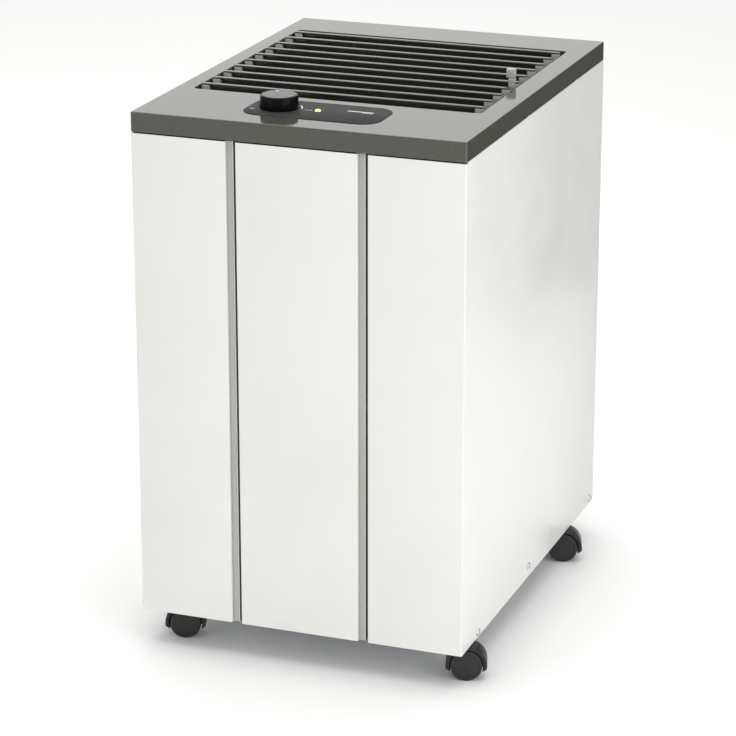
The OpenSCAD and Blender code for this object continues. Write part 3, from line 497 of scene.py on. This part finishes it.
round_edges(bm, hem, 0.6 * MM, 3)
cover = make_piece(bm, "top_cover_moulding", "cabinet", "cover_plastic", cover_grey, "top_cover")
shading = cover.modifiers.new("flat_faces_stay_flat", "WEIGHTED_NORMAL")
shading.keep_sharp = True
shading.weight = 100


# ---------------------------------------------------------------- louvre
# Ten moulded blades on pivots in a frame under the cover. Each has a polished flange,
# a thin web below it and a block at each end. A lever on the fifth tilts them all.

blade_gloss = moulded("blade_grey_gloss", (0.036, 0.036, 0.030), 0.12, 0.22, gloss=0.45)
block_grey = moulded("blade_block_grey", (0.44, 0.44, 0.41), 0.26, 0.40)
blade_names = sorted((n for n in frame["nodes"] if n.startswith("louvre_blade_")),
                     key=lambda n: int(n.rsplit("_", 1)[1]))
flange_thick = 1.6 * MM
flange_deep = 6 * MM
web_thick = 2 * MM
block_wide = 8.5 * MM
block_tall = 15.2 * MM
pivot_drop = 11.2 * MM
pivot_radius = 2 * MM
link_drop = 13 * MM
link_behind = 2 * MM
link_pin = 1.5 * MM
seam = 0.1 * MM
blade_half = 153 * MM
blade_left, blade_right = louvre_mid - blade_half, louvre_mid + blade_half
link_left, link_right = 141.7 * MM + louvre_mid, 147.9 * MM + louvre_mid


def add_rod(bm, start, end, radius, segments=24):
    """A round rod between two points."""
    start, end = Vector(start), Vector(end)
    axis = end - start
    place = Matrix.Translation((start + end) / 2) @ axis.to_track_quat("Z", "Y").to_matrix().to_4x4()
    return bmesh.ops.create_cone(bm, cap_ends=True, segments=segments, radius1=radius, radius2=radius,
                                 depth=axis.length, matrix=place)["verts"]


for name in blade_names:
    low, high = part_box(name)
    number = name.rsplit("_", 1)[1]
    bm = bmesh.new()
    y_mid = next(j["pos_m"][1] for j in frame["joints"] if j["child"] == f"blade_{number}")
    y0, y1 = y_mid - flange_deep / 2, y_mid + flange_deep / 2
    verts = add_box(bm, (blade_left, y0, high.z - flange_thick), (blade_right, y1, high.z))
    round_edges(bm, edges_of(verts), 0.5 * MM, 3)
    verts = add_box(bm, (blade_left + MM, y1 - web_thick, low.z),
                    (link_left, y1 - seam, high.z - 0.6 * MM))
    round_edges(bm, edges_of(verts), 0.3 * MM, 2)
    blocks = bmesh.new()
    pivot_z = high.z - pivot_drop
    for x0, x1, pin_end in ((blade_left + seam, blade_left + block_wide, low.x),
                            (blade_right - block_wide, blade_right - seam, high.x)):
        verts = add_box(blocks, (x0, y0 + 2 * seam, high.z - block_tall),
                        (x1, y1 - 2 * seam, high.z - flange_thick / 2))
        round_edges(blocks, edges_of(verts), 0.6 * MM, 3)
        add_rod(bm, ((x0 + x1) / 2, y_mid, pivot_z), (pin_end, y_mid, pivot_z), pivot_radius)
    link_y, link_z = y_mid + link_behind, pivot_z - link_drop
    add_rod(bm, (link_left - 2 * MM, link_y, link_z), (link_right, link_y, link_z), link_pin, 16)
    make_piece(bm, f"{name}_moulding", f"blade_{number}", "louvre_plastic", blade_gloss, name)
    make_piece(blocks, f"{name}_blocks", f"blade_{number}", "louvre_plastic", block_grey)

black_moulded = moulded("black_moulding", (0.030, 0.031, 0.031), 0.34, 0.46, gloss=0.5)
paint(black_moulded, "louvre_frame", "louvre_link_bar")

lever_low, lever_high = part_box("louvre_lever")
lever_grey = moulded("lever_grey_gloss", (0.45, 0.45, 0.425), 0.22, 0.32)
blade_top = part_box(blade_names[0])[1].z
bm = bmesh.new()
narrow = 2.4 * MM
clip_thick = 1.4 * MM
neck_inset = 0.8 * MM
stem_back = lever_high.y - 0.9 * MM
verts = add_box(bm, (lever_low.x, lever_low.y, blade_top + 4.5 * MM), lever_high)
round_edges(bm, edges_of(verts), 0.7 * MM, 3)
add_box(bm, (lever_low.x + narrow, lever_low.y + neck_inset, blade_top + 2 * MM),
        (lever_high.x - neck_inset, stem_back, blade_top + 6 * MM))
verts = add_box(bm, (lever_low.x + narrow, lever_low.y, blade_top - clip_thick),
                (lever_high.x, stem_back, blade_top + 3.7 * MM))
round_edges(bm, edges_of(verts), 0.5 * MM, 3)
verts = add_box(bm, (lever_low.x + narrow, lever_low.y, lever_low.z),
                (lever_high.x, lever_low.y + clip_thick, blade_top))
round_edges(bm, edges_of(verts), 0.4 * MM, 2)
make_piece(bm, "louvre_lever_tab", "blade_5", "louvre_plastic", lever_grey, "louvre_lever")


# ---------------------------------------------------------------- control label and lamp
# A printed polycarbonate label is stuck on the cover in front of the louvre, with a
# generic dial scale in white. The lamp's domed lens stands in a hole through both.

def rounded_outline(x0, y0, x1, y1, radius, steps=10):
    """The corners of a rectangle with round corners, anticlockwise."""
    points = []
    for cx, cy, start in ((x1 - radius, y1 - radius, 0), (x0 + radius, y1 - radius, 90),
                          (x0 + radius, y0 + radius, 180), (x1 - radius, y0 + radius, 270)):
        for i in range(steps + 1):
            a = radians(start + 90 * i / steps)
            points.append((cx + radius * cos(a), cy + radius * sin(a)))
    return points


def add_slab(bm, outline, z0, z1):
    """A flat slab with this outline, as its list of side edges at the top."""
    face = bm.faces.new([bm.verts.new((x, y, z0)) for x, y in outline])
    made = bmesh.ops.extrude_face_region(bm, geom=[face])["geom"]
    raised = [g for g in made if isinstance(g, bmesh.types.BMVert)]
    bmesh.ops.translate(bm, vec=(0, 0, z1 - z0), verts=raised)
    return [g for g in made if isinstance(g, bmesh.types.BMEdge)]


label_low, label_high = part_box("control_overlay")
dial_y = (label_low.y + label_high.y) / 2
knob_x = -43 * MM
lamp_x = (label_low.x + label_high.x) / 2
label_film = moulded("label_film", (0.042, 0.042, 0.043), 0.42, 0.50, gloss=0.02)
label_corner = 20 * MM
bm = bmesh.new()
rim = add_slab(bm, rounded_outline(label_low.x, label_low.y, label_high.x, label_high.y, label_corner),
               label_low.z, label_high.z)
round_edges(bm, rim, 0.25 * MM, 2)
make_piece(bm, "control_label", "cabinet", "overlay_film", label_film, "control_overlay")

print_white = Finish("print_white", (0.70, 0.70, 0.68), 0.5)
print_white.vary_colour(print_white.noise(2500, 2), (0.80, 0.80, 0.78), (0.62, 0.62, 0.61))
ink = 0.06 * MM


def arc_outline(cx, cy, radius, width, start, end, steps=14):
    """The outline of a printed arc."""
    turns = [radians(start + (end - start) * i / steps) for i in range(steps + 1)]
    outer = [(cx + (radius + width) * cos(a), cy + (radius + width) * sin(a)) for a in turns]
    inner = [(cx + radius * cos(a), cy + radius * sin(a)) for a in reversed(turns)]
    return outer + inner


minus_mark = (-70, dial_y / MM - 13, -64.5, dial_y / MM - 11.8)
lamp_line = (-15.5, dial_y / MM - 0.35, -7.5, dial_y / MM + 0.35)
long_bar = (26, dial_y / MM + 9.5, 54, dial_y / MM + 12)
short_bar = (43, dial_y / MM + 6.4, 54, dial_y / MM + 7.6)
z = label_high.z
bm = bmesh.new()
add_slab(bm, arc_outline(knob_x, dial_y, 22.4 * MM, 1.5 * MM, 8, 42), z, z + ink)
for mark, radius, height in ((minus_mark, 0.4, ink), (lamp_line, 0.3, ink * 0.6),
                             (long_bar, 1.1, ink), (short_bar, 0.5, ink)):
    outline = rounded_outline(*(c * MM for c in mark), radius * MM, 3 if radius < 0.5 else 4)
    add_slab(bm, outline, z, z + height)
make_piece(bm, "control_print", "cabinet", "overlay_film", print_white.material)


def spin_profile(bm, points, place, steps=64):
    """Turns a profile of (radius, height) points once round the local Z axis."""
    verts = [bm.verts.new((r, 0, h)) for r, h in points]
    edges = [bm.edges.new(pair) for pair in zip(verts, verts[1:])]
    before = set(bm.verts) - set(verts)
    bmesh.ops.spin(bm, geom=verts + edges, cent=(0, 0, 0), axis=(0, 0, 1), angle=2 * pi,
                   steps=steps, use_merge=True, use_duplicate=False)
    made = [v for v in bm.verts if v not in before]
    bmesh.ops.remove_doubles(bm, verts=made, dist=1e-7)
    made = [v for v in bm.verts if v not in before]
    bmesh.ops.transform(bm, matrix=place, verts=made)
    return made


lamp_low, lamp_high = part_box("power_lamp")
lens = Finish("lamp_lens", (0.55, 0.80, 0.12), 0.15)
lens.vary_colour(lens.noise(900, 2), (0.52, 0.80, 0.10), (0.80, 0.95, 0.30))
from_middle = lens.tree.nodes.new("ShaderNodeVectorMath")
from_middle.operation = "DISTANCE"
from_middle.inputs[1].default_value = (lamp_x, dial_y, lamp_high.z)
lens.link(lens.place, from_middle.inputs[0])
glow = lens.tree.nodes.new("ShaderNodeMix")
glow.data_type = "RGBA"
glow.inputs["A"].default_value = (1.0, 1.0, 0.75, 1)
glow.inputs["B"].default_value = (0.45, 0.75, 0.08, 1)
lens.link(lens.between(from_middle.outputs["Value"], 0, 1, 1.3 * MM, 2.4 * MM), glow.inputs["Factor"])
lens.link(glow.outputs["Result"], lens.shader.inputs["Emission Color"])
lens.shader.inputs["Emission Strength"].default_value = 1.6
lens_radius, holder_radius = 3 * MM, 5 * MM
holder_top = cover_high.z - 2.6 * MM
dome = [(r * MM, lamp_high.z - drop * MM) for r, drop in ((2.7, 0.7), (2.1, 0.3), (1.2, 0.06), (0, 0))]
bm = bmesh.new()
spin_profile(bm, [(0, lamp_low.z), (holder_radius, lamp_low.z), (holder_radius, holder_top),
                  (lens_radius, holder_top), (lens_radius, lamp_high.z - 1.2 * MM)] + dome,
             Matrix.Translation((lamp_x, dial_y, 0)), 32)
make_piece(bm, "power_lamp_lens", "cabinet", "lamp_lens", lens.material, "power_lamp")


# ---------------------------------------------------------------- knob
# A black moulded knob on the humidistat's post, a little narrower at the top. A glossy
# turned disc is pressed in its top, with a white dot that shows the setting.

paint(black_moulded, "humidistat")
knob_low, knob_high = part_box("knob")
cap_low, cap_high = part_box("knob_cap")
cap_radius = (cap_high.x - cap_low.x) / 2
knob_black = moulded("knob_black", (0.004, 0.004, 0.004), 0.22, 0.32, gloss=0.10)
place = Matrix.Translation((knob_x, dial_y, 0))
post_top = label_high.z + 9.4 * MM
post_bore = 3.05 * MM
cap_seat = cap_radius + 0.1 * MM
foot_curve = ((19.3, 0), (19.85, 0.25), (20, 0.8))
top_curve = ((19.1, 1.1), (18.9, 0.5), (18.45, 0.12), (18.0, 0))
base = [(r * MM, knob_low.z + rise * MM) for r, rise in foot_curve]
shoulder = [(r * MM, knob_high.z - drop * MM) for r, drop in top_curve]
bm = bmesh.new()
spin_profile(bm, [(0, post_top), (post_bore, post_top), (post_bore, knob_low.z)] + base + shoulder
             + [(cap_seat, knob_high.z), (cap_seat, cap_low.z), (0, cap_low.z)], place, 96)
make_piece(bm, "knob_body", "knob", "control_black", knob_black, "knob")

disc = Finish("turned_disc", (0.02, 0.02, 0.02), 0.15)
offset = disc.tree.nodes.new("ShaderNodeVectorMath")
offset.operation = "SUBTRACT"
offset.inputs[1].default_value = (knob_x, dial_y, cap_high.z)
disc.link(disc.place, offset.inputs[0])
distance = disc.tree.nodes.new("ShaderNodeVectorMath")
distance.operation = "LENGTH"
disc.link(offset.outputs["Vector"], distance.inputs[0])
rings = disc.tree.nodes.new("ShaderNodeTexNoise")
rings.noise_dimensions = "1D"
rings.inputs["Scale"].default_value = 1600
disc.link(distance.outputs["Value"], rings.inputs["W"])
disc.shader.inputs["Specular IOR Level"].default_value = 0.24
disc.vary_roughness(rings.outputs["Fac"], 0.10, 0.20)
disc.vary_colour(rings.outputs["Fac"], (0.015, 0.015, 0.015), (0.028, 0.028, 0.028))
disc.bump(rings.outputs["Fac"], 0.012)
cap_floor = cap_low.z + 0.02 * MM
chamfer = 0.3 * MM
bm = bmesh.new()
spin_profile(bm, [(0, cap_floor), (cap_radius, cap_floor), (cap_radius, cap_high.z - chamfer),
                  (cap_radius - chamfer, cap_high.z), (0, cap_high.z)], place, 96)
make_piece(bm, "knob_disc", "knob", "knob_disc", disc.material, "knob_cap")

dot_turn = radians(120)
dot_reach = 13 * MM
dot_x = knob_x + dot_reach * cos(dot_turn)
dot_y = dial_y + dot_reach * sin(dot_turn)
dot_curve = ((0, -0.1), (1.6, -0.1), (1.6, 0.05), (1.3, 0.12), (0, 0.14))
place = Matrix.Translation((dot_x, dot_y, cap_high.z))
bm = bmesh.new()
spin_profile(bm, [(r * MM, h * MM) for r, h in dot_curve], place, 24)
make_piece(bm, "knob_dot", "knob", "knob_disc", print_white.material)


# ---------------------------------------------------------------- castors
# Four twin-wheel swivel castors in black nylon. The hood is an arch over both treads
# on a middle web, with a steel axle pressed through it and a stem up into the tray.

castor_black = moulded("castor_black", (0.014, 0.015, 0.014), 0.34, 0.48, gloss=0.35)
wheel_black = moulded("wheel_black", (0.020, 0.021, 0.020), 0.38, 0.52, gloss=0.35)
wheel_radius = 16.5 * MM
hood_inside = wheel_radius + 1.2 * MM
hood_outside = hood_inside + 3.8 * MM
hood_top = 19.5 * MM
tip_drop = 6.5 * MM
hood_half = 11.4 * MM
web_half = 2.3 * MM
stem_low, stem_high = 12 * MM, 30.4 * MM
stem_radius = 4 * MM


def arch_points(radius, low, steps):
    """Points of an arc over the axle, from front to back, whose ends are at this height."""
    start = asin(low / radius)
    turns = [start + (pi - 2 * start) * i / steps for i in range(steps + 1)]
    return [(-radius * cos(turn), radius * sin(turn)) for turn in turns]


def hood_profile():
    """The hood seen along the axle: a flat-topped arch whose ends taper to the inside."""
    outside = [(x, min(z, hood_top)) for x, z in arch_points(hood_outside, -tip_drop / 2, 40)]
    inside = arch_points(hood_inside, -tip_drop, 40)
    return outside + list(reversed(inside))


def extrude_along_y(bm, outline, half):
    """Adds a plate with this outline, given as (x, z), centred on the local XZ plane."""
    face = bm.faces.new([bm.verts.new((x, -half, z)) for x, z in outline])
    made = bmesh.ops.extrude_face_region(bm, geom=[face])["geom"]
    raised = [g for g in made if isinstance(g, bmesh.types.BMVert)]
    bmesh.ops.translate(bm, vec=(0, 2 * half, 0), verts=raised)


joint_of = {j["child"]: j for j in frame["joints"]}
wheel_profile = [(0, 2.95), (6.5, 2.95), (15.6, 2.95), (16.2, 3.15), (16.5, 3.7), (16.5, 10.5),
                 (16.25, 11.05), (15.7, 11.35), (13.6, 11.4), (13.2, 11.3), (13.0, 10.85), (0, 10.8)]
for corner in ("front_left", "front_right", "rear_left", "rear_right"):
    stem_at = Vector(joint_of[f"castor_{corner}"]["pos_m"])
    roll = joint_of[f"castor_{corner}_wheel_a"]
    axle_at = Vector(roll["pos_m"])
    along = Vector(roll["axis"])
    ahead = along.cross(Vector((0, 0, 1)))
    place = Matrix.Translation(axle_at) @ Matrix((ahead, along, (0, 0, 1))).transposed().to_4x4()
    stem_x = (Vector((stem_at.x, stem_at.y, axle_at.z)) - axle_at).dot(ahead)

    bm = bmesh.new()
    extrude_along_y(bm, hood_profile(), hood_half)
    bmesh.ops.recalc_face_normals(bm, faces=bm.faces)
    round_edges(bm, sharp_edges(bm, 40), 0.5 * MM, 3)
    extrude_along_y(bm, arch_points(hood_inside + 0.4 * MM, -tip_drop * 0.6, 32), web_half)
    add_rod(bm, (stem_x, 0, stem_low), (stem_x, 0, stem_high), stem_radius, 32)
    bmesh.ops.transform(bm, matrix=place, verts=bm.verts)
    make_piece(bm, f"castor_{corner}_hood", f"castor_{corner}", "castor_plastic", castor_black,
               f"castor_{corner}_housing")
    for side, flip in (("a", 1), ("b", -1)):
        turned = place @ Matrix.Rotation(-flip * pi / 2, 4, "X")
        bm = bmesh.new()
        spin_profile(bm, [(r * MM, h * MM) for r, h in wheel_profile], turned, 72)
        wheel = f"castor_{corner}_wheel_{side}"
        make_piece(bm, f"{wheel}_moulding", wheel, "wheel_plastic", wheel_black, wheel)
    paint(zinc_plate, f"castor_{corner}_axle")


# ---------------------------------------------------------------- tray and bulkhead
# Pressed from zinc-coated sheet with its spangle left bare. The tray carries the
# castors and the compressor, and the bulkhead parts the water bay from the machine.

def spangled_zinc(name, colour):
    """Hot-dip zinc: large crystals, each with its own sheen, under a dull film."""
    zinc = Finish(name, colour, 0.4, metallic=0.9)
    crystals = zinc.tree.nodes.new("ShaderNodeTexVoronoi")
    crystals.inputs["Scale"].default_value = 95
    zinc.link(zinc.place, crystals.inputs["Vector"])
    grey = zinc.tree.nodes.new("ShaderNodeSeparateColor")
    zinc.link(crystals.outputs["Color"], grey.inputs["Color"])
    zinc.link(zinc.between(grey.outputs["Red"], 0.32, 0.52, 0, 1), zinc.shader.inputs["Roughness"])
    zinc.vary_colour(grey.outputs["Green"], [c * 0.88 for c in colour], [c * 1.08 for c in colour], 0, 1)
    zinc.bump(zinc.noise(400, 3), 0.02)
    return zinc.material


zinc_sheet = spangled_zinc("spangled_zinc", (0.60, 0.62, 0.64))
paint(zinc_sheet, "base_tray", "partition")
box_steel = spangled_zinc("electrical_box_zinc", (0.50, 0.52, 0.54))
paint(box_steel, "electrical_box")


# ---------------------------------------------------------------- cooling unit
# Aluminium fins on copper tubes, copper pipes, a black enamelled compressor on rubber
# bushes, and a motor and fan in a moulded shroud that faces the coils.

def side_mask(finish, axis, start, end):
    """A mask that goes from 0 to 1 between two places along an axis."""
    split = finish.tree.nodes.new("ShaderNodeSeparateXYZ")
    finish.link(finish.place, split.inputs["Vector"])
    return finish.between(split.outputs[axis], 0, 1, start, end)


fins = Finish("fins_and_bends", (0.72, 0.73, 0.74), 0.35, metallic=1.0)
fins.vary_roughness(fins.noise(200, 3, (8, 1, 0.2)), 0.26, 0.46)
fins_end = -150 * MM
bends = side_mask(fins, "X", fins_end + 0.1 * MM, fins_end - 0.1 * MM)
fins.vary_colour(bends, (0.72, 0.73, 0.74), (0.60, 0.30, 0.17), 0, 1)
fins.bump(fins.noise(420, 1, (6, 0.02, 0.02)), 0.25)
paint(fins.material, "evaporator", "condenser")

copper = Finish("drawn_copper", (0.66, 0.33, 0.19), 0.3, metallic=1.0)
copper.vary_roughness(copper.noise(90, 4), 0.22, 0.42)
copper.vary_colour(copper.noise(28, 4), (0.68, 0.34, 0.20), (0.42, 0.20, 0.12))
copper.bump(copper.noise(600, 2), 0.02)
paint(copper.material, "refrigerant_pipes")

enamel = powder_coat("black_enamel", (0.016, 0.016, 0.017), (0.030, 0.030, 0.031))
paint(enamel, "compressor")
grey_enamel = powder_coat("motor_enamel", (0.17, 0.18, 0.19), (0.12, 0.125, 0.13))
paint(grey_enamel, "fan_motor")
rubber = moulded("soft_rubber", (0.020, 0.020, 0.020), 0.62, 0.78, gloss=0.3)
paint(rubber, "compressor_mounts")
fan_plastic = moulded("fan_moulding", (0.045, 0.047, 0.050), 0.36, 0.5)
paint(fan_plastic, "fan_rotor")
paint(black_moulded, "fan_shroud")
tray_white = moulded("tray_white", (0.66, 0.66, 0.64), 0.34, 0.46, speck=(0.58, 0.58, 0.55))
paint(tray_white, "drip_tray")


# ---------------------------------------------------------------- water tank
# Blow-moulded translucent polypropylene with a faint haze, a black bail handle, a
# foam float on a hinged arm, and the reed switch above its rim.

tank_plastic = Finish("translucent_tank", (0.80, 0.86, 0.89), 0.3)
tank_plastic.shader.inputs["Transmission Weight"].default_value = 0.55
tank_plastic.shader.inputs["IOR"].default_value = 1.49
tank_plastic.vary_roughness(tank_plastic.noise(30, 4), 0.24, 0.42)
tank_plastic.vary_colour(tank_plastic.noise(12, 4), (0.80, 0.86, 0.89), (0.72, 0.79, 0.83))
tank_plastic.bump(tank_plastic.noise(160, 3), 0.06)
paint(tank_plastic.material, "water_tank")
paint(black_moulded, "tank_handle", "float_switch")

foam = Finish("closed_cell_foam", (0.72, 0.71, 0.66), 0.75)
cells = foam.tree.nodes.new("ShaderNodeTexVoronoi")
cells.inputs["Scale"].default_value = 900
foam.link(foam.place, cells.inputs["Vector"])
foam.vary_colour(cells.outputs["Distance"], (0.62, 0.61, 0.56), (0.76, 0.75, 0.70), 0.1, 0.5)
foam.bump(cells.outputs["Distance"], 0.12)
paint(foam.material, "float")


# ---------------------------------------------------------------- filter and outlets
# A moulded frame with a woven nylon net is a push fit in the back. Under it are the
# bush where the mains lead would enter and a recessed spigot for a drain hose.

paint(black_moulded, "filter_frame", "cord_inlet")
spigot_grey = moulded("spigot_grey", (0.060, 0.062, 0.065), 0.34, 0.46)
paint(spigot_grey, "drain_spigot")

net = Finish("nylon_net", (0.05, 0.05, 0.055), 0.6)
weave = None
for axis in ("X", "Z"):
    threads = net.tree.nodes.new("ShaderNodeTexWave")
    threads.bands_direction = axis
    threads.inputs["Scale"].default_value = 110
    net.link(net.place, threads.inputs["Vector"])
    if weave is None:
        weave = threads.outputs["Fac"]
    else:
        cross = net.tree.nodes.new("ShaderNodeMath")
        cross.operation = "MAXIMUM"
        net.link(weave, cross.inputs[0])
        net.link(threads.outputs["Fac"], cross.inputs[1])
        weave = cross.outputs["Value"]
# Between the threads the net is painted near black. This is painted shade for the dark inside seen
# through its holes; the threads keep the nylon's own dark grey.
net.vary_colour(weave, (0.004, 0.004, 0.004), (0.075, 0.078, 0.085), 0.5, 0.9)
net.bump(weave, 0.3)
paint(net.material, "filter_mesh")
